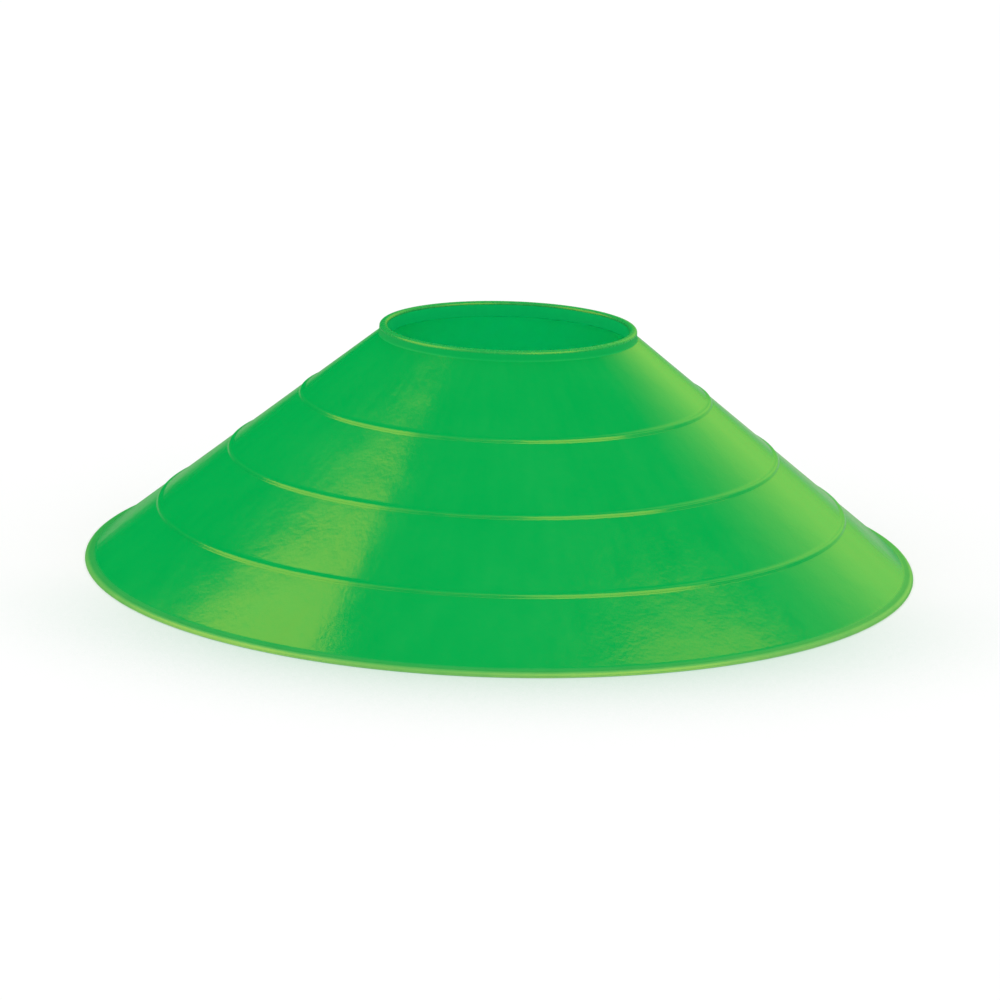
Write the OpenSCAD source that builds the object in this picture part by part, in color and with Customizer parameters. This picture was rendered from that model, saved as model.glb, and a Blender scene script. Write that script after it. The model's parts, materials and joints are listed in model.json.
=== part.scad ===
// Low sports marker cone: a thin moulded shell, open below, with a collared hole at the top,
// fine ridges round its slope and a rounded hem where it stands on the ground.
// The axis is Z and the ground is at zero. Lengths are in millimetres.

/* [Cone] */
// Outside diameter of the foot, the size that such a cone is known by
foot_d = 190; // [170:1:230]
// Height from the ground to the top of the lip
cone_h = 54.5; // [46:0.5:64]
// Thickness of the sloping wall
wall = 1.2; // [0.9:0.1:1.6]

/* [Top hole] */
// Diameter of the hole through the top
hole_d = 55; // [46:0.5:64]
// Thickness of the collar round the hole
collar_wall = 1.8; // [1.5:0.1:2.4]
// How far the lip stands above the start of the slope
collar_rise = 2.1; // [1.9:0.1:4]
// How far the bore runs below the start of the slope
bore_drop = 1.4; // [1:0.1:1.8]
// Radius on the two edges of the lip
lip_r = 0.7; // [0.3:0.1:0.7]
// Radius of the hollow corner between the collar and the slope
collar_fillet = 0.6; // [0.3:0.1:1]

/* [Ridges] */
// Number of fine ridges round the slope
ridge_count = 3; // [1:1:5]
// Drop from the start of the slope to the first ridge, which makes the top band
top_band_drop = 13.9; // [12:0.1:16]
// How far a ridge stands out from the slope
ridge_rise = 0.3; // [0.2:0.05:0.6]
// Radius of a ridge's rounded crest
crest_r = 0.9; // [0.6:0.1:1.4]
// Radius of the hollow ledge above a ridge
ledge_r = 2; // [1.4:0.1:3]
// Radius of the hollow below a ridge
heel_r = 0.6; // [0.4:0.1:1.4]

/* [Hem] */
// Radius of the rounded hem at the foot
hem_r = 1; // [0.8:0.1:1.4]
// How far inside the foot's edge the line of the slope meets the ground
hem_inset = 0.7; // [0.3:0.1:0.8]
// Radius of the hollow between the lowest band and the hem
hem_fillet = 2.2; // [1.2:0.1:3]

/* [Hidden] */
// Straight pieces in each rounded stretch of the outline
arc_steps = 6;
$fn = 144;

foot_r = foot_d / 2;
hole_r = hole_d / 2;
collar_r = hole_r + collar_wall;
slope_z = cone_h - collar_rise;
slope_a = atan2(slope_z, foot_r - hem_inset - collar_r);
bore_z = slope_z - bore_drop;
band_drop = (slope_z - top_band_drop) / ridge_count;
// The outline's direction straight out from the slope
out_a = 90 - slope_a;

// A point on the slope, so far down it from the collar and so far out from it
function on_slope(run, out) = [
    collar_r + run * cos(slope_a) + out * sin(slope_a),
    slope_z - run * sin(slope_a) + out * cos(slope_a)
];

// Radius of the inner face of the sloping wall at a height
function inner_r(z) = collar_r + (slope_z - z) / tan(slope_a) - wall / sin(slope_a);

// A rounded stretch of the outline, turning between two angles about its centre
function turn(centre, radius, from, to) = [
    for (i = [0:arc_steps])
        let (a = from + (to - from) * i / arc_steps)
            centre + radius * [cos(a), sin(a)]
];

// How far apart along the slope two touching rounds lie: a hollow one that touches the slope too,
// and a raised one whose centre is so far out from the slope
function reach(hollow, raised, out) = sqrt(pow(hollow + raised, 2) - pow(hollow - out, 2));

// The angle that each of those two rounds turns through
function swing(hollow, raised, out) = acos((hollow - out) / (hollow + raised));

// A ridge's outline going down the slope: hollow ledge, crest, hollow heel
function ridge(run) =
    let (
        out = ridge_rise - crest_r,
        ledge = on_slope(run - reach(ledge_r, crest_r, out), ledge_r),
        heel = on_slope(run + reach(heel_r, crest_r, out), heel_r),
        up = swing(ledge_r, crest_r, out),
        down = swing(heel_r, crest_r, out)
    )
    concat(
        turn(ledge, ledge_r, out_a - 180, out_a - 180 + up),
        turn(on_slope(run, out), crest_r, out_a + up, out_a - down),
        turn(heel, heel_r, out_a + 180 - down, out_a + 180)
    );

// The hem's outline: a hollow, then a round edge that ends square to the ground
function hem() =
    let (
        mid = [foot_r - hem_r, 0],
        from_top = mid - [collar_r, slope_z],
        run = from_top[0] * cos(slope_a) - from_top[1] * sin(slope_a),
        out = from_top[0] * sin(slope_a) + from_top[1] * cos(slope_a),
        hollow = on_slope(run - reach(hem_fillet, hem_r, out), hem_fillet),
        up = swing(hem_fillet, hem_r, out)
    )
    concat(
        turn(hollow, hem_fillet, out_a - 180, out_a - 180 + up),
        turn(mid, hem_r, out_a + up, 0)
    );

// The collar's outline: up the bore, over the lip and down into the slope
function collar() =
    let (corner_z = slope_z + collar_fillet * (1 - sin(slope_a)) / cos(slope_a))
    concat(
        [[hole_r, bore_z]],
        turn([hole_r + lip_r, cone_h - lip_r], lip_r, 180, 90),
        turn([collar_r - lip_r, cone_h - lip_r], lip_r, 90, 0),
        turn([collar_r + collar_fillet, corner_z], collar_fillet, 180, 270 - slope_a)
    );

// Every ridge, from the top one down
function ridges() = [
    for (k = [0:ridge_count - 1])
        each ridge((top_band_drop + k * band_drop) / sin(slope_a))
];

// The whole moulding: one outline turned about the axis, with a plain inner face for stacking
module cone_shell() {
    inner_face = [[inner_r(0), 0], [inner_r(bore_z), bore_z]];
    color("#00AF4E")
        rotate_extrude()
            polygon(concat(collar(), ridges(), hem(), inner_face));
}

cone_shell();
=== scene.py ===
"""A low sports marker cone: one moulded green shell, open side down on a pale studio floor."""

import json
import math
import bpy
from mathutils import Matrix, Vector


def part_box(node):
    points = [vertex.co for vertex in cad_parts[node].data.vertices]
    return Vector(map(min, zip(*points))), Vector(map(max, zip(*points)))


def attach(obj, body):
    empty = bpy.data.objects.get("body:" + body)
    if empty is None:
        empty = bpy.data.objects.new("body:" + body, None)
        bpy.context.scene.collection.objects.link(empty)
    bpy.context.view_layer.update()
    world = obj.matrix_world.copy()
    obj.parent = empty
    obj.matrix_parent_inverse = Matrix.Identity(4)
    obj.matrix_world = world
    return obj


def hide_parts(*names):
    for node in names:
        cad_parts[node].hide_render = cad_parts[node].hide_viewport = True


bl_info = {
    "name": "Sports marker cone",
    "version": (1, 0, 0),
    "blender": (4, 5, 0),
    "location": "View3D > Sidebar > Marker Cone",
    "description": "Makes a low marker cone's moulded shell, its plastic and a plain studio",
    "category": "Object",
}

from typing import NamedTuple

import bmesh
import bpy
from bpy.props import FloatProperty, FloatVectorProperty, IntProperty, PointerProperty
from mathutils import Matrix, Vector

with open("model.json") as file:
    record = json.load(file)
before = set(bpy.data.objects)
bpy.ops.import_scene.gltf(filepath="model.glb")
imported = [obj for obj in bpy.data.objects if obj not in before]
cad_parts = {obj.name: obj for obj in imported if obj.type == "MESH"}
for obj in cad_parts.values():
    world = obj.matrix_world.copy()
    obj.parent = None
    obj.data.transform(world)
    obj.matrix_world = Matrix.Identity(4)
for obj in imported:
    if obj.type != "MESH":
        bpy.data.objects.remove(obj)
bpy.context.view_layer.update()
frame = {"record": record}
NODE = "cone_shell"
BODY = "root"
MM = 0.001
NODE_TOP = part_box(NODE)[1]
HOLE = next(m for m in frame["record"]["mounts"] if m["name"] == "carry_hole")

# Straight stretches longer than the first are cut into pieces about as long as the second, with a
# guard that short beside each round
FILL_FROM, FILL_STEP, GUARD = 0.6 * MM, 2.2 * MM, 0.2 * MM

# Names of the mesh's two attributes: rub wear with painted highlight sheen, and scuffed matt wear
RUB_SHEEN, SCUFFED = "rub_sheen_tint", "scuffed"

# How pale each round is painted, as rub wear from stacking and as painted highlight sheen, and how
# matt it is scuffed: at its start, its middle and its end
PLAIN = (0.0, 0.0, 0.0)
LIP_INNER_RUB_SHEEN, LIP_OUTER_RUB_SHEEN = (0.0, 0.04, 0.05), (0.05, 0.05, 0.0)
CREST_RUB_SHEEN = (0.0, 0.03, 0.0)
HEM_HOLLOW_RUB_SHEEN, HEM_RUB_SHEEN, HEM_FOOT_RUB_SHEEN = (0.0, 0.05, 0.16), (0.16, 0.75, 1.0), (1.0, 1.0, 1.0)
LIP_SCUFF = (0.3, 0.3, 0.3)
HEM_HOLLOW_SCUFF, HEM_SCUFF = (0.0, 0.7, 0.5), (0.5, 0.4, 0.4)

# The finishes that the shell's faces take, in the order of its material slots
OUTER, INNER, BORE, COLLAR = range(4)


# Sizes and finishes that a user would change


def length(name, description, default):
    """A length in metres, given in millimetres."""
    return FloatProperty(
        name=name, description=description, default=default * MM, unit="LENGTH", precision=5
    )


def plastic_colour(name, description, default):
    """A colour that the plastic has somewhere."""
    return FloatVectorProperty(
        name=name, description=description, subtype="COLOR", size=3, default=default
    )


class MarkerConeShape(bpy.types.PropertyGroup):
    """The moulding's outline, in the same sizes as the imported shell."""

    foot_radius: length("Foot radius", "Outside radius of the foot", NODE_TOP.x / MM)
    height: length("Height", "From the ground to the top of the lip", NODE_TOP.z / MM)
    hole_radius: length("Hole radius", "Radius of the hole through the top", HOLE["dims"]["r_mm"])
    wall: length("Wall", "Thickness of the sloping wall", 1.2)
    collar_wall: length("Collar wall", "Thickness of the collar round the hole", 1.8)
    collar_rise: length("Collar rise", "How far the lip stands above the start of the slope", 2.1)
    bore_drop: length("Bore drop", "How far the bore runs below the start of the slope", 1.4)
    lip_radius: length("Lip radius", "Rounding of the lip's two edges", 0.7)
    collar_fillet: length("Collar fillet", "Hollow corner between the collar and the slope", 0.6)
    ridge_count: IntProperty(name="Ridges", description="Fine ridges round the slope", default=3)
    top_band: length("Top band", "Drop from the start of the slope to the first ridge", 13.9)
    ridge_rise: length("Ridge rise", "How far a ridge stands out from the slope", 0.3)
    crest_radius: length("Crest radius", "Rounding of a ridge's crest", 0.9)
    ledge_radius: length("Ledge radius", "Hollow ledge above a ridge", 2.0)
    heel_radius: length("Heel radius", "Hollow below a ridge", 0.6)
    hem_radius: length("Hem radius", "Rounding of the hem at the foot", 1.0)
    hem_inset: length("Hem inset", "How far inside the foot the line of the slope lands", 0.7)
    hem_fillet: length("Hem fillet", "Hollow between the lowest band and the hem", 2.2)
    edge_break: length("Edge break", "Softening of the moulding's corners underneath", 0.06)
    lean: length("Lean", "How far the soft shell's top stands to the right of its foot", 0.507)
    turn_steps: IntProperty(name="Steps round", description="Faces round the axis", default=320)
    round_steps: IntProperty(
        name="Steps in a round", description="Faces across each rounded stretch", default=8
    )


class MarkerConePlastic(bpy.types.PropertyGroup):
    """The colour and surface of the moulded plastic."""

    colour: plastic_colour("Colour", "Base colour of the plastic", (0.0, 0.435, 0.075))
    # Painted highlight sheen with rub wear: the lip, crests and hem are tinted towards this colour
    rub_sheen_colour: plastic_colour(
        "Rub and sheen colour", "Colour that the rounds are painted towards: rub wear from stacking and painted highlight sheen", (0.22, 0.57, 0.12)
    )
    inner_colour: plastic_colour(
        "Inner colour",
        "Base colour of the inner face, which light through the wall brightens",
        (0.0, 0.43, 0.06),
    )
    # Painted glow: the bore, and a little the collar's outside, take paler bases than the outer
    # face, which stand in for light through the plastic in their shade
    bore_painted_glow_colour: plastic_colour(
        "Bore painted glow colour",
        "Base colour of the bore, painted paler as a glow that stands in for light through the collar",
        (0.0, 0.72, 0.17),
    )
    collar_painted_glow_colour: plastic_colour(
        "Collar painted glow colour",
        "Base colour of the collar's outside, painted a little paler as a glow that stands in for light through it",
        (0.0, 0.475, 0.092),
    )
    roughness: FloatProperty(
        name="Roughness", description="Mean roughness of the glossy outer face", default=0.14
    )
    matt_roughness: FloatProperty(
        name="Matt roughness", description="Mean roughness of the other faces", default=0.45
    )
    glow_depth: length("Glow depth", "How far light runs in the inner face's plastic", 10.4)


class MarkerConePhoto(bpy.types.PropertyGroup):
    """Where the camera stands."""

    lens: FloatProperty(name="Lens", description="Focal length in mm", default=128.35)
    distance: length("Distance", "From the camera to the point it looks at", 819.53)
    aim_height: length("Aim height", "Height of that point", 13.518)
    aim_side: length("Aim side", "How far that point lies to the right of the axis", -0.2455)
    elevation: FloatProperty(
        name="Elevation",
        description="Camera's angle above the horizon",
        subtype="ANGLE",
        default=math.radians(14.166),
    )
    roll: FloatProperty(
        name="Roll",
        description="Camera's tilt about its own line of sight",
        subtype="ANGLE",
        default=math.radians(1.661),
    )


# Outline of the moulding


def along(amounts, part):
    """How pale a round is painted, as rub wear and painted sheen, or how scuffed it is, at a part
    of the way along it, from its start, middle and end values.
    """
    start, middle, end = amounts
    if part < 0.5:
        return start + (middle - start) * 2 * part
    return middle + (end - middle) * (2 * part - 1)


class Outline:
    """The cross-section of the shell as rounds in order. Each is a list of points that hold the
    radius, the height, how pale the plastic is painted as rub wear and painted highlight sheen, how
    scuffed it is, and the finish from there on."""

    def __init__(self, shape):
        s = self.s = shape
        self.collar_r = s.hole_radius + s.collar_wall
        self.slope_z = s.height - s.collar_rise
        self.slope = math.atan2(self.slope_z, s.foot_radius - s.hem_inset - self.collar_r)
        self.bore_z = self.slope_z - s.bore_drop
        self.outward = math.pi / 2 - self.slope

    def on_slope(self, run, out):
        """A point so far down the slope from the collar, and so far out from it."""
        return (
            self.collar_r + run * math.cos(self.slope) + out * math.sin(self.slope),
            self.slope_z - run * math.sin(self.slope) + out * math.cos(self.slope),
        )

    def inner_r(self, z):
        """Radius of the inner face of the sloping wall at a height."""
        across = self.s.wall / math.sin(self.slope)
        return self.collar_r + (self.slope_z - z) / math.tan(self.slope) - across

    def turn(self, centre, radius, start, end, rub_sheen=PLAIN, scuff=PLAIN, finish=OUTER, then=None):
        """A rounded stretch that turns between two angles about its centre. It has one finish, and
        the straight stretch after it may have another."""
        steps = self.s.round_steps
        finishes = [finish] * steps + [finish if then is None else then]
        points = []
        for i in range(steps + 1):
            angle = start + (end - start) * i / steps
            r = centre[0] + radius * math.cos(angle)
            z = centre[1] + radius * math.sin(angle)
            points.append((r, z, along(rub_sheen, i / steps), along(scuff, i / steps), finishes[i]))
        return points

    @staticmethod
    def reach(hollow, raised, out):
        """How far apart along the slope a hollow round and the raised one that it touches lie."""
        return math.sqrt((hollow + raised) ** 2 - (hollow - out) ** 2)

    @staticmethod
    def swing(hollow, raised, out):
        """The angle that each of those two rounds turns through."""
        return math.acos((hollow - out) / (hollow + raised))

    def collar(self):
        """The bore's lower edge, the lip and the hollow corner at the start of the slope."""
        s = self.s
        corner_rise = s.collar_fillet * (1 - math.sin(self.slope)) / math.cos(self.slope)
        lip_z = s.height - s.lip_radius
        brk = s.edge_break
        return [
            self.turn(
                (s.hole_radius + brk, self.bore_z + brk), brk, 1.5 * math.pi, math.pi, finish=BORE
            ),
            # The lip's two rounds are painted a little paler: rub wear and a painted highlight line
            self.turn(
                (s.hole_radius + s.lip_radius, lip_z),
                s.lip_radius,
                math.pi,
                math.pi / 2,
                LIP_INNER_RUB_SHEEN,
                LIP_SCUFF,
            ),
            self.turn(
                (self.collar_r - s.lip_radius, lip_z),
                s.lip_radius,
                math.pi / 2,
                0,
                LIP_OUTER_RUB_SHEEN,
                LIP_SCUFF,
                then=COLLAR,
            ),
            self.turn(
                (self.collar_r + s.collar_fillet, self.slope_z + corner_rise),
                s.collar_fillet,
                math.pi,
                1.5 * math.pi - self.slope,
                finish=COLLAR,
                then=OUTER,
            ),
        ]

    def ridge(self, run):
        """One ridge: hollow ledge, crest, hollow heel."""
        s = self.s
        out = s.ridge_rise - s.crest_radius
        up = self.swing(s.ledge_radius, s.crest_radius, out)
        down = self.swing(s.heel_radius, s.crest_radius, out)
        ledge_run = run - self.reach(s.ledge_radius, s.crest_radius, out)
        heel_run = run + self.reach(s.heel_radius, s.crest_radius, out)
        ledge = self.on_slope(ledge_run, s.ledge_radius)
        heel = self.on_slope(heel_run, s.heel_radius)
        flat = self.outward
        return [
            self.turn(ledge, s.ledge_radius, flat - math.pi, flat - math.pi + up),
            # The crest is painted faintly paler: a painted highlight line with a little rub wear
            self.turn(self.on_slope(run, out), s.crest_radius, flat + up, flat - down, CREST_RUB_SHEEN),
            self.turn(heel, s.heel_radius, flat + math.pi - down, flat + math.pi),
        ]

    def ridges(self):
        """Every ridge, from the top one down."""
        s = self.s
        drop = (self.slope_z - s.top_band) / s.ridge_count
        rounds = []
        for k in range(s.ridge_count):
            rounds += self.ridge((s.top_band + k * drop) / math.sin(self.slope))
        return rounds

    def hem(self):
        """The hollow above the hem, its rounded edge, and the softened corners it stands on."""
        s = self.s
        mid = (s.foot_radius - s.hem_radius, 0.0)
        dr, dz = mid[0] - self.collar_r, mid[1] - self.slope_z
        run = dr * math.cos(self.slope) - dz * math.sin(self.slope)
        out = dr * math.sin(self.slope) + dz * math.cos(self.slope)
        up = self.swing(s.hem_fillet, s.hem_radius, out)
        hollow = self.on_slope(run - self.reach(s.hem_fillet, s.hem_radius, out), s.hem_fillet)
        flat = self.outward
        brk = s.edge_break
        return [
            # The hollow, the hem's round and its foot corner are painted paler towards the foot:
            # rub wear and a painted highlight line, which also lightens the hollow
            self.turn(
                hollow,
                s.hem_fillet,
                flat - math.pi,
                flat - math.pi + up,
                HEM_HOLLOW_RUB_SHEEN,
                HEM_HOLLOW_SCUFF,
            ),
            self.turn(
                mid, s.hem_radius, flat + up, math.asin(brk / s.hem_radius), HEM_RUB_SHEEN, HEM_SCUFF
            ),
            self.turn((s.foot_radius - brk, brk), brk, 0, -math.pi / 2, HEM_FOOT_RUB_SHEEN),
            self.turn(
                (self.inner_r(0) + brk, brk), brk, -math.pi / 2, flat - math.pi, finish=INNER
            ),
        ]

    def inside(self):
        """The hollow corner under the collar, where the inner face meets the bore's skirt."""
        brk = self.s.edge_break
        r = self.inner_r(self.bore_z)
        below = self.bore_z - 2 * brk * math.tan(self.slope)
        return [[(r + 2 * brk, below, 0.0, 0.0, INNER), (r - brk, self.bore_z, 0.0, 0.0, INNER)]]


def shell_rows(shape):
    """The outline as one closed run of points, with its long straight stretches cut up."""
    line = Outline(shape)
    rounds = line.collar() + line.ridges() + line.hem() + line.inside()
    rows = []
    for k, stretch in enumerate(rounds):
        rows += stretch
        a, b = stretch[-1], rounds[(k + 1) % len(rounds)][0]
        gap = math.dist(a[:2], b[:2])
        if gap > FILL_FROM:
            parts = max(2, math.ceil(gap / FILL_STEP))
            guard = min(GUARD / gap, 0.25)
            stops = [guard] + [i / parts for i in range(1, parts)] + [1 - guard]
            for t in stops:
                between = [p + (q - p) * t for p, q in zip(a[:-1], b[:-1])]
                rows.append((*between, a[-1]))
    return rows


def build_shell_mesh(shape):
    """Turns the outline about the axis into a closed mesh of quads, each with its finish."""
    rows = shell_rows(shape)
    bm = bmesh.new()
    # Per vertex: how pale the round is painted, as rub wear and painted highlight sheen, and how
    # scuffed it is
    rub_sheen_tint = bm.verts.layers.float.new(RUB_SHEEN)
    scuffed = bm.verts.layers.float.new(SCUFFED)
    n = shape.turn_steps
    rings = []
    for r, z, rub_sheen, scuff, _ in rows:
        aside = shape.lean * z / shape.height
        ring = []
        for i in range(n):
            angle = 2 * math.pi * i / n
            vert = bm.verts.new((r * math.sin(angle) + aside, -r * math.cos(angle), z))
            vert[rub_sheen_tint] = rub_sheen
            vert[scuffed] = scuff
            ring.append(vert)
        rings.append(ring)
    for k, ring in enumerate(rings):
        after = rings[(k + 1) % len(rings)]
        for i in range(n):
            j = (i + 1) % n
            face = bm.faces.new((ring[i], after[i], after[j], ring[j]))
            face.material_index = rows[k][-1]
            face.smooth = True
    bmesh.ops.recalc_face_normals(bm, faces=bm.faces)
    mesh = bpy.data.meshes.new("moulded_shell")
    bm.to_mesh(mesh)
    bm.free()
    return mesh


# Shader nodes

# The Mix node's sockets for colours
MIX_AMOUNT, MIX_BASE, MIX_TINT, MIX_RESULT = 0, 6, 7, 2


def new_material(name):
    """A material with an empty node tree and a Principled BSDF wired to its output."""
    mat = bpy.data.materials.new(name)
    mat.use_nodes = True
    tree = mat.node_tree
    tree.nodes.clear()
    shader = tree.nodes.new("ShaderNodeBsdfPrincipled")
    out = tree.nodes.new("ShaderNodeOutputMaterial")
    tree.links.new(shader.outputs["BSDF"], out.inputs["Surface"])
    return mat, tree, shader


def feed(tree, given, socket):
    """Feeds an input from another node's socket, or sets it to a number or a colour."""
    if isinstance(given, bpy.types.NodeSocket):
        tree.links.new(given, socket)
    elif isinstance(given, tuple):
        socket.default_value = (*given, 1)
    else:
        socket.default_value = given


def value_node(tree, operation, *given, clamp=False):
    """A Math node on sockets or numbers; returns its output."""
    node = tree.nodes.new("ShaderNodeMath")
    node.operation = operation
    node.use_clamp = clamp
    for value, socket in zip(given, node.inputs):
        feed(tree, value, socket)
    return node.outputs[0]


def noise_node(tree, place, size, detail, roughness):
    """A Noise Texture whose features are about so large; returns its value."""
    node = tree.nodes.new("ShaderNodeTexNoise")
    node.inputs["Scale"].default_value = 1 / size
    node.inputs["Detail"].default_value = detail
    node.inputs["Roughness"].default_value = roughness
    tree.links.new(place, node.inputs["Vector"])
    return node.outputs["Fac"]


def spread_node(tree, value, low, high, to_low, to_high, smooth=False):
    """A Map Range node; returns its output."""
    node = tree.nodes.new("ShaderNodeMapRange")
    node.interpolation_type = "SMOOTHSTEP" if smooth else "LINEAR"
    feed(tree, value, node.inputs["Value"])
    names = ("From Min", "From Max", "To Min", "To Max")
    for name, given in zip(names, (low, high, to_low, to_high)):
        feed(tree, given, node.inputs[name])
    return node.outputs["Result"]


def tint_node(tree, amount, base, tint):
    """Mixes a colour towards another by an amount; returns the colour."""
    node = tree.nodes.new("ShaderNodeMix")
    node.data_type = "RGBA"
    for given, place in ((amount, MIX_AMOUNT), (base, MIX_BASE), (tint, MIX_TINT)):
        feed(tree, given, node.inputs[place])
    return node.outputs[MIX_RESULT]


def about_zero(tree, value):
    """A noise's value, moved so that its middle is zero."""
    return value_node(tree, "SUBTRACT", value, 0.5)


# The moulded plastic

CLOUD_SIZE, WAVE_SIZE, PATCH_SIZE, GRAIN_SIZE = 22 * MM, 9 * MM, 7 * MM, 0.9 * MM

# A streak's width as a part of the radius, how fast streaks change down the slope for each metre,
# and how strong they are beside the clouds
STREAK_WIDTH_SHARE, STREAK_CHANGE, STREAK_SHARE = 0.045, 6.0, 0.6

# How high the long waves are for a grain of 1, and how much of the rub wear and painted sheen the
# least touched patches keep
WAVE_HEIGHT = 4.0
LEAST_RUB_SHEEN = 0.75

# How cloudy a surface is, how far its roughness spreads and how high its bumps stand
GLOSSY = {"cloudiness": 0.10, "spread": 0.14, "bump": 0.025 * MM}
MATT = {"cloudiness": 0.08, "spread": 0.08, "bump": 0.012 * MM}

# How far red, green and blue light run in the inner face's plastic, as parts of its glow depth
GLOW_SHARES = (0.02, 1.0, 0.7)
# Specular level of the collar and its bore, which mirror little
DULL_LEVEL = 0.05


def flow_streaks(tree, place):
    """Streaks where the plastic flowed out from the collar: long down the slope and narrow round
    it."""
    split = tree.nodes.new("ShaderNodeSeparateXYZ")
    tree.links.new(place, split.inputs[0])
    x, y, _ = split.outputs
    squares = [value_node(tree, "MULTIPLY", side, side) for side in (x, y)]
    radius = value_node(tree, "SQRT", value_node(tree, "ADD", *squares))
    around = tree.nodes.new("ShaderNodeCombineXYZ")
    turned = (
        value_node(tree, "DIVIDE", x, radius),
        value_node(tree, "DIVIDE", y, radius),
        value_node(tree, "MULTIPLY", radius, STREAK_CHANGE),
    )
    for value, socket in zip(turned, around.inputs):
        tree.links.new(value, socket)
    return noise_node(tree, around.outputs[0], STREAK_WIDTH_SHARE, 2, 0.5)


def attribute_value(tree, name):
    """One of the mesh's two attributes: rub wear with painted highlight sheen, and scuffed matt
    wear.
    """
    node = tree.nodes.new("ShaderNodeAttribute")
    node.attribute_name = name
    return node.outputs["Fac"]


def moulded_grain_group():
    """The surface that a moulded polyethylene part has: cloudy colour, flow streaks, a fine mottled
    grain, edges painted paler as rub wear from stacking and as a painted highlight sheen, and
    scuffed edges that are more matt."""
    group = bpy.data.node_groups.new("moulded_grain", "ShaderNodeTree")
    face = group.interface
    for name, kind, default in (
        ("Colour", "NodeSocketColor", (0, 0.4, 0.08, 1)),
        ("Rub Sheen Colour", "NodeSocketColor", (0.2, 0.6, 0.15, 1)),
        ("Cloudiness", "NodeSocketFloat", 0.05),
        ("Roughness", "NodeSocketFloat", 0.25),
        ("Roughness Spread", "NodeSocketFloat", 0.05),
        ("Scuffed Roughness", "NodeSocketFloat", 0.6),
    ):
        socket = face.new_socket(name, in_out="INPUT", socket_type=kind)
        socket.default_value = default
    for name, kind in (
        ("Colour", "NodeSocketColor"),
        ("Roughness", "NodeSocketFloat"),
        ("Height", "NodeSocketFloat"),
    ):
        face.new_socket(name, in_out="OUTPUT", socket_type=kind)
    given = group.nodes.new("NodeGroupInput").outputs
    out = group.nodes.new("NodeGroupOutput").inputs
    place = group.nodes.new("ShaderNodeTexCoord").outputs["Object"]
    clouds = noise_node(group, place, CLOUD_SIZE, 3, 0.55)
    grain = noise_node(group, place, GRAIN_SIZE, 3, 0.6)
    patches = noise_node(group, place, PATCH_SIZE, 3, 0.6)
    waves = noise_node(group, place, WAVE_SIZE, 2, 0.5)

    streaks = about_zero(group, flow_streaks(group, place))
    streaks = value_node(group, "MULTIPLY", streaks, STREAK_SHARE)
    lift = value_node(group, "ADD", about_zero(group, clouds), streaks)

    # Colour: clouds and streaks, then the edges painted paler as rub wear and painted highlight
    # sheen
    shade = value_node(group, "MULTIPLY", lift, given["Cloudiness"])
    shade = value_node(group, "ADD", shade, 1.0)
    clouded = group.nodes.new("ShaderNodeVectorMath")
    clouded.operation = "SCALE"
    group.links.new(given["Colour"], clouded.inputs[0])
    group.links.new(shade, clouded.inputs["Scale"])
    patchy = spread_node(group, patches, 0.35, 0.65, LEAST_RUB_SHEEN, 1.0)
    worn_sheen = value_node(group, "MULTIPLY", attribute_value(group, RUB_SHEEN), patchy, clamp=True)
    colour = tint_node(group, worn_sheen, clouded.outputs[0], given["Rub Sheen Colour"])
    group.links.new(colour, out["Colour"])

    # Roughness: clouds, streaks and grain about a mean that is higher where scuffed
    rough = value_node(group, "ADD", lift, about_zero(group, grain))
    rough = value_node(group, "MULTIPLY", rough, given["Roughness Spread"])
    scuff = attribute_value(group, SCUFFED)
    mean = spread_node(group, scuff, 0.0, 1.0, given["Roughness"], given["Scuffed Roughness"])
    rough = value_node(group, "ADD", rough, mean, clamp=True)
    group.links.new(rough, out["Roughness"])

    # Height: grain and long waves
    waves = value_node(group, "MULTIPLY", waves, WAVE_HEIGHT)
    group.links.new(value_node(group, "ADD", grain, waves), out["Height"])
    return group


def plastic_material(name, group, colour, rub_sheen_tint, roughness, cloudiness, spread, bump):
    """Moulded plastic with the shared grain, set by its own values."""
    mat, tree, shader = new_material(name)
    node = tree.nodes.new("ShaderNodeGroup")
    node.node_tree = group
    node.inputs["Colour"].default_value = (*colour, 1)
    node.inputs["Rub Sheen Colour"].default_value = (*rub_sheen_tint, 1)
    node.inputs["Cloudiness"].default_value = cloudiness
    node.inputs["Roughness"].default_value = roughness
    node.inputs["Roughness Spread"].default_value = spread
    dent = tree.nodes.new("ShaderNodeBump")
    dent.inputs["Strength"].default_value = 1.0
    dent.inputs["Distance"].default_value = bump
    tree.links.new(node.outputs["Height"], dent.inputs["Height"])
    tree.links.new(dent.outputs["Normal"], shader.inputs["Normal"])
    tree.links.new(node.outputs["Colour"], shader.inputs["Base Color"])
    tree.links.new(node.outputs["Roughness"], shader.inputs["Roughness"])
    return mat, shader


def outer_plastic(group, plastic):
    """The glossy outer face, with its lip, crests and hem painted paler as rub wear and painted
    highlight sheen, and its lip and hem scuffed.
    """
    mat, _ = plastic_material(
        "outer_plastic",
        group,
        plastic.colour,
        plastic.rub_sheen_colour,
        plastic.roughness,
        **GLOSSY,
    )
    return mat


def matt_plastic(name, group, plastic, colour):
    """A matt face with no wear."""
    return plastic_material(name, group, colour, colour, plastic.matt_roughness, **MATT)


def inner_plastic(group, plastic):
    """The inner face, which glows with the light that comes through the wall."""
    mat, shader = matt_plastic("inner_plastic", group, plastic, plastic.inner_colour)
    shader.inputs["Subsurface Weight"].default_value = 1.0
    shader.inputs["Subsurface Radius"].default_value = GLOW_SHARES
    shader.inputs["Subsurface Scale"].default_value = plastic.glow_depth
    return mat


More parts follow.
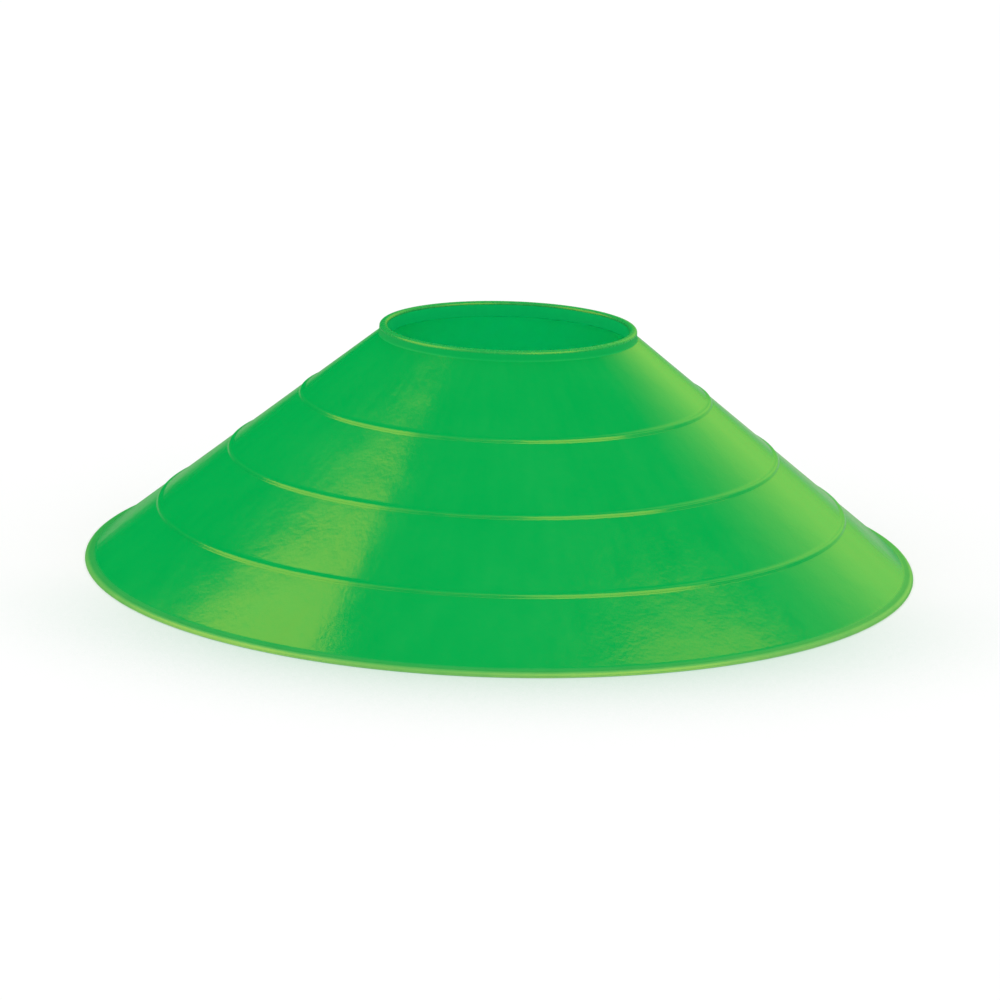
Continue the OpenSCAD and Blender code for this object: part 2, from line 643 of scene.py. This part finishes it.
def dull_plastic(name, group, plastic, colour):
    """A matt face that mirrors little, for the bore and the collar's outside, whose paler base
    colours are a painted glow.
    """
    mat, shader = matt_plastic(name, group, plastic, colour)
    shader.inputs["Specular IOR Level"].default_value = DULL_LEVEL
    return mat


class MARKERCONE_OT_shell(bpy.types.Operator):
    """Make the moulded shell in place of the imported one"""

    bl_idname = "marker_cone.shell"
    bl_label = "Moulded shell"

    def execute(self, context):
        mesh = build_shell_mesh(context.scene.marker_cone_shape)
        shell = bpy.data.objects.new("moulded_shell", mesh)
        context.scene.collection.objects.link(shell)
        plastic = context.scene.marker_cone_plastic
        group = moulded_grain_group()
        finishes = {
            OUTER: outer_plastic(group, plastic),
            INNER: inner_plastic(group, plastic),
            # The bore's and the collar's paler base colours are a painted glow
            BORE: dull_plastic("bore_painted_glow_plastic", group, plastic, plastic.bore_painted_glow_colour),
            COLLAR: dull_plastic("collar_painted_glow_plastic", group, plastic, plastic.collar_painted_glow_colour),
        }
        for slot in sorted(finishes):
            mesh.materials.append(finishes[slot])
        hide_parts(NODE)
        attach(shell, BODY)
        return {"FINISHED"}


# Lamps, background and floor


class SoftBox(NamedTuple):
    """A lamp that faces the cone: degrees round from the camera's side and above the floor, metres
    from the axis, degrees turned about its own line of sight, metres across each way, and how
    bright it looks, where 1 is white."""

    azimuth: float
    elevation: float
    distance: float
    turn: float
    size: tuple
    brightness: float


SOFT_BOXES = {
    "left_soft_box": SoftBox(-86.7, 33.4, 1.609, 52.0, (1.347, 1.625), 3.1),
    "right_soft_box": SoftBox(50.7, 60.2, 0.4075, 80.2, (0.0691, 1.008), 2.13),
    "front_left_box": SoftBox(-63.0, 42.0, 1.0, 0.0, (0.61, 0.73), 0.9),
    "front_right_box": SoftBox(44.0, 42.0, 1.0, 0.0, (0.89, 0.73), 4.0),
}
BOX_COLOUR = (1.0, 0.66, 0.02)

# A lit patch of wall that fades outwards: discs of growing size, each a step behind the last
REAR_WALL = SoftBox(149.4, 22.0, 1.50, 0.0, (1.0, 1.0), 0.24)
REAR_WALL_DISCS = {"middle": 0.50, "inner": 0.90, "outer": 1.28, "rim": 1.77}
REAR_WALL_STEP = 0.03
REAR_WALL_COLOUR = (1.0, 0.95, 0.12)

WHITE = (1.0, 1.0, 1.0)
# What the glossy plastic mirrors apart from the lamps: a dim green room, and behind the cone a
# paler floor
ROOM_COLOUR = (0.0, 0.40, 0.075)
BACK_FLOOR_COLOUR = (0.46, 0.62, 0.38)

FLOOR_HALF = 6.0
FLOOR_COLOUR = (0.9, 0.9, 0.9)
# Light that the camera sees the floor give off, so that it shows white
FLOOR_GLOW = 0.12
# The cone's shade on the floor: its colour, how far it reaches, how fast it deepens, and the two
# distances in front of the axis between which it comes in
SHADE_COLOUR = (0.0, 0.42, 0.14)
SHADE_REACH, SHADE_POWER = 50 * MM, 4.2
SHADE_FROM, SHADE_FULL = 10 * MM, 90 * MM
# The mirrored paler floor comes in between the first two distances behind the axis, fades between
# the next two to a share, and falls to another share between the left and the right
BACK_FROM, BACK_FULL = 0.0, 80 * MM
BACK_FADE_FROM, BACK_FADE_TO, BACK_FAR_SHARE = 150 * MM, 700 * MM, 0.6
BACK_SIDE, BACK_LEFT_SHARE = 60 * MM, 0.55


def soft_box(name, box, shape, colour):
    """One lamp, which shows only as a reflection."""
    a, e = math.radians(box.azimuth), math.radians(box.elevation)
    way = Vector((math.sin(a) * math.cos(e), -math.cos(a) * math.cos(e), math.sin(e)))
    side = Vector((0, 0, 1)).cross(way).normalized()
    axes = Matrix((side, way.cross(side), way)).transposed()
    width, height = box.size
    data = bpy.data.lights.new(name, "AREA")
    data.shape = shape
    data.size = width
    area = math.pi / 4 * width * width
    if shape == "RECTANGLE":
        data.size_y = height
        area = width * height
    data.color = colour
    data.energy = box.brightness * math.pi * area
    lamp = bpy.data.objects.new(name, data)
    facing = axes.to_4x4() @ Matrix.Rotation(math.radians(box.turn), 4, "Z")
    lamp.matrix_world = Matrix.Translation(way * box.distance) @ facing
    lamp.visible_camera = False
    lamp.visible_diffuse = False
    bpy.context.scene.collection.objects.link(lamp)


def hang_lamps():
    """The four soft boxes, and the rear wall's discs."""
    for name, box in SOFT_BOXES.items():
        soft_box(name, box, "RECTANGLE", BOX_COLOUR)
    for k, (name, across) in enumerate(REAR_WALL_DISCS.items()):
        disc = REAR_WALL._replace(
            distance=REAR_WALL.distance + k * REAR_WALL_STEP, size=(across, across)
        )
        soft_box("rear_wall_" + name, disc, "DISK", REAR_WALL_COLOUR)


def studio_world():
    """Even white light from all round, which the camera sees white too. The plastic mirrors a dim
    green room instead."""
    world = bpy.data.worlds.new("studio")
    world.use_nodes = True
    tree = world.node_tree
    tree.nodes.clear()
    out = tree.nodes.new("ShaderNodeOutputWorld")
    sky = tree.nodes.new("ShaderNodeBackground")
    path = tree.nodes.new("ShaderNodeLightPath").outputs
    seen = tint_node(tree, path["Is Glossy Ray"], WHITE, ROOM_COLOUR)
    tree.links.new(seen, sky.inputs["Color"])
    tree.links.new(sky.outputs["Background"], out.inputs["Surface"])
    return world


def floor_material():
    """Pale matt card. The camera sees it white, and darker and a little green only in front of the
    cone, where the cone shades it. The plastic mirrors it pale only behind the cone."""
    mat, tree, shader = new_material("pale_floor")
    shader.inputs["Roughness"].default_value = 0.9
    shader.inputs["Specular IOR Level"].default_value = 0.0
    split = tree.nodes.new("ShaderNodeSeparateXYZ")
    tree.links.new(tree.nodes.new("ShaderNodeTexCoord").outputs["Object"], split.inputs[0])
    x, y, _ = split.outputs
    path = tree.nodes.new("ShaderNodeLightPath").outputs

    # The shade in front
    shade = tree.nodes.new("ShaderNodeAmbientOcclusion")
    shade.inputs["Distance"].default_value = SHADE_REACH
    shade.samples = 16
    open_part = value_node(tree, "POWER", shade.outputs["AO"], SHADE_POWER)
    front = spread_node(tree, y, -SHADE_FROM, -SHADE_FULL, 0.0, 1.0, smooth=True)
    dark = value_node(tree, "SUBTRACT", 1.0, open_part)
    dark = value_node(tree, "MULTIPLY", dark, front, clamp=True)
    pale = tint_node(tree, dark, FLOOR_COLOUR, SHADE_COLOUR)

    # What the plastic mirrors
    behind = spread_node(tree, y, BACK_FROM, BACK_FULL, 0.0, 1.0, smooth=True)
    far = spread_node(tree, y, BACK_FADE_FROM, BACK_FADE_TO, 1.0, BACK_FAR_SHARE, smooth=True)
    right = spread_node(tree, x, -BACK_SIDE, BACK_SIDE, BACK_LEFT_SHARE, 1.0)
    behind = value_node(tree, "MULTIPLY", behind, far)
    behind = value_node(tree, "MULTIPLY", behind, right)
    mirrored = tint_node(tree, behind, ROOM_COLOUR, BACK_FLOOR_COLOUR)
    colour = tint_node(tree, path["Is Glossy Ray"], pale, mirrored)
    tree.links.new(colour, shader.inputs["Base Color"])

    seen = value_node(tree, "MAXIMUM", path["Is Camera Ray"], path["Is Transmission Ray"])
    shader.inputs["Emission Color"].default_value = (*WHITE, 1)
    glow = value_node(tree, "MULTIPLY", seen, FLOOR_GLOW)
    tree.links.new(glow, shader.inputs["Emission Strength"])
    return mat


def lay_floor(scene):
    """A wide flat floor."""
    mesh = bpy.data.meshes.new("floor")
    corners = [(-1, -1), (1, -1), (1, 1), (-1, 1)]
    points = [(x * FLOOR_HALF, y * FLOOR_HALF, 0) for x, y in corners]
    mesh.from_pydata(points, [], [(0, 1, 2, 3)])
    floor = bpy.data.objects.new("floor", mesh)
    scene.collection.objects.link(floor)
    mesh.materials.append(floor_material())


def place_camera(scene, photo):
    """The camera where the photographer's stood, with its small tilt."""
    cam = bpy.data.cameras.new("camera")
    cam.lens = photo.lens
    cam.sensor_width = 36
    cam.sensor_fit = "HORIZONTAL"
    eye = bpy.data.objects.new("camera", cam)
    scene.collection.objects.link(eye)
    e = photo.elevation
    back_way = Vector((0, -math.cos(e), math.sin(e)))
    aim = Vector((photo.aim_side, 0, photo.aim_height))
    look = (-back_way).to_track_quat("-Z", "Y").to_matrix().to_4x4()
    roll = Matrix.Rotation(photo.roll, 4, "Z")
    eye.matrix_world = Matrix.Translation(aim + back_way * photo.distance) @ look @ roll
    scene.camera = eye


class MARKERCONE_OT_stage(bpy.types.Operator):
    """Make the floor, the lamps, the background and the camera"""

    bl_idname = "marker_cone.stage"
    bl_label = "Stage"

    def execute(self, context):
        scene = context.scene
        lay_floor(scene)
        scene.world = studio_world()
        hang_lamps()
        place_camera(scene, scene.marker_cone_photo)
        scene.view_settings.view_transform = "Standard"
        return {"FINISHED"}


# Panel and registration

GROUPS = {
    "marker_cone_shape": MarkerConeShape,
    "marker_cone_plastic": MarkerConePlastic,
    "marker_cone_photo": MarkerConePhoto,
}
OPERATORS = (MARKERCONE_OT_stage, MARKERCONE_OT_shell)


class MARKERCONE_PT_panel(bpy.types.Panel):
    """Lists the cone's operators and their settings"""

    bl_label = "Marker Cone"
    bl_idname = "MARKERCONE_PT_panel"
    bl_space_type = "VIEW_3D"
    bl_region_type = "UI"
    bl_category = "Marker Cone"

    def draw(self, context):
        layout = self.layout
        for operator in OPERATORS:
            layout.operator(operator.bl_idname)
        for name, group in GROUPS.items():
            settings = layout.column()
            for key in group.__annotations__:
                settings.prop(getattr(context.scene, name), key)


CLASSES = (*GROUPS.values(), *OPERATORS, MARKERCONE_PT_panel)


def register():
    for cls in CLASSES:
        bpy.utils.register_class(cls)
    for name, group in GROUPS.items():
        setattr(bpy.types.Scene, name, PointerProperty(type=group))


def unregister():
    for name in GROUPS:
        delattr(bpy.types.Scene, name)
    for cls in reversed(CLASSES):
        bpy.utils.unregister_class(cls)


def main():
    register()
    bpy.ops.marker_cone.stage()
    bpy.ops.marker_cone.shell()
    bpy.context.view_layer.update()


if __name__ == "__main__":
    main()
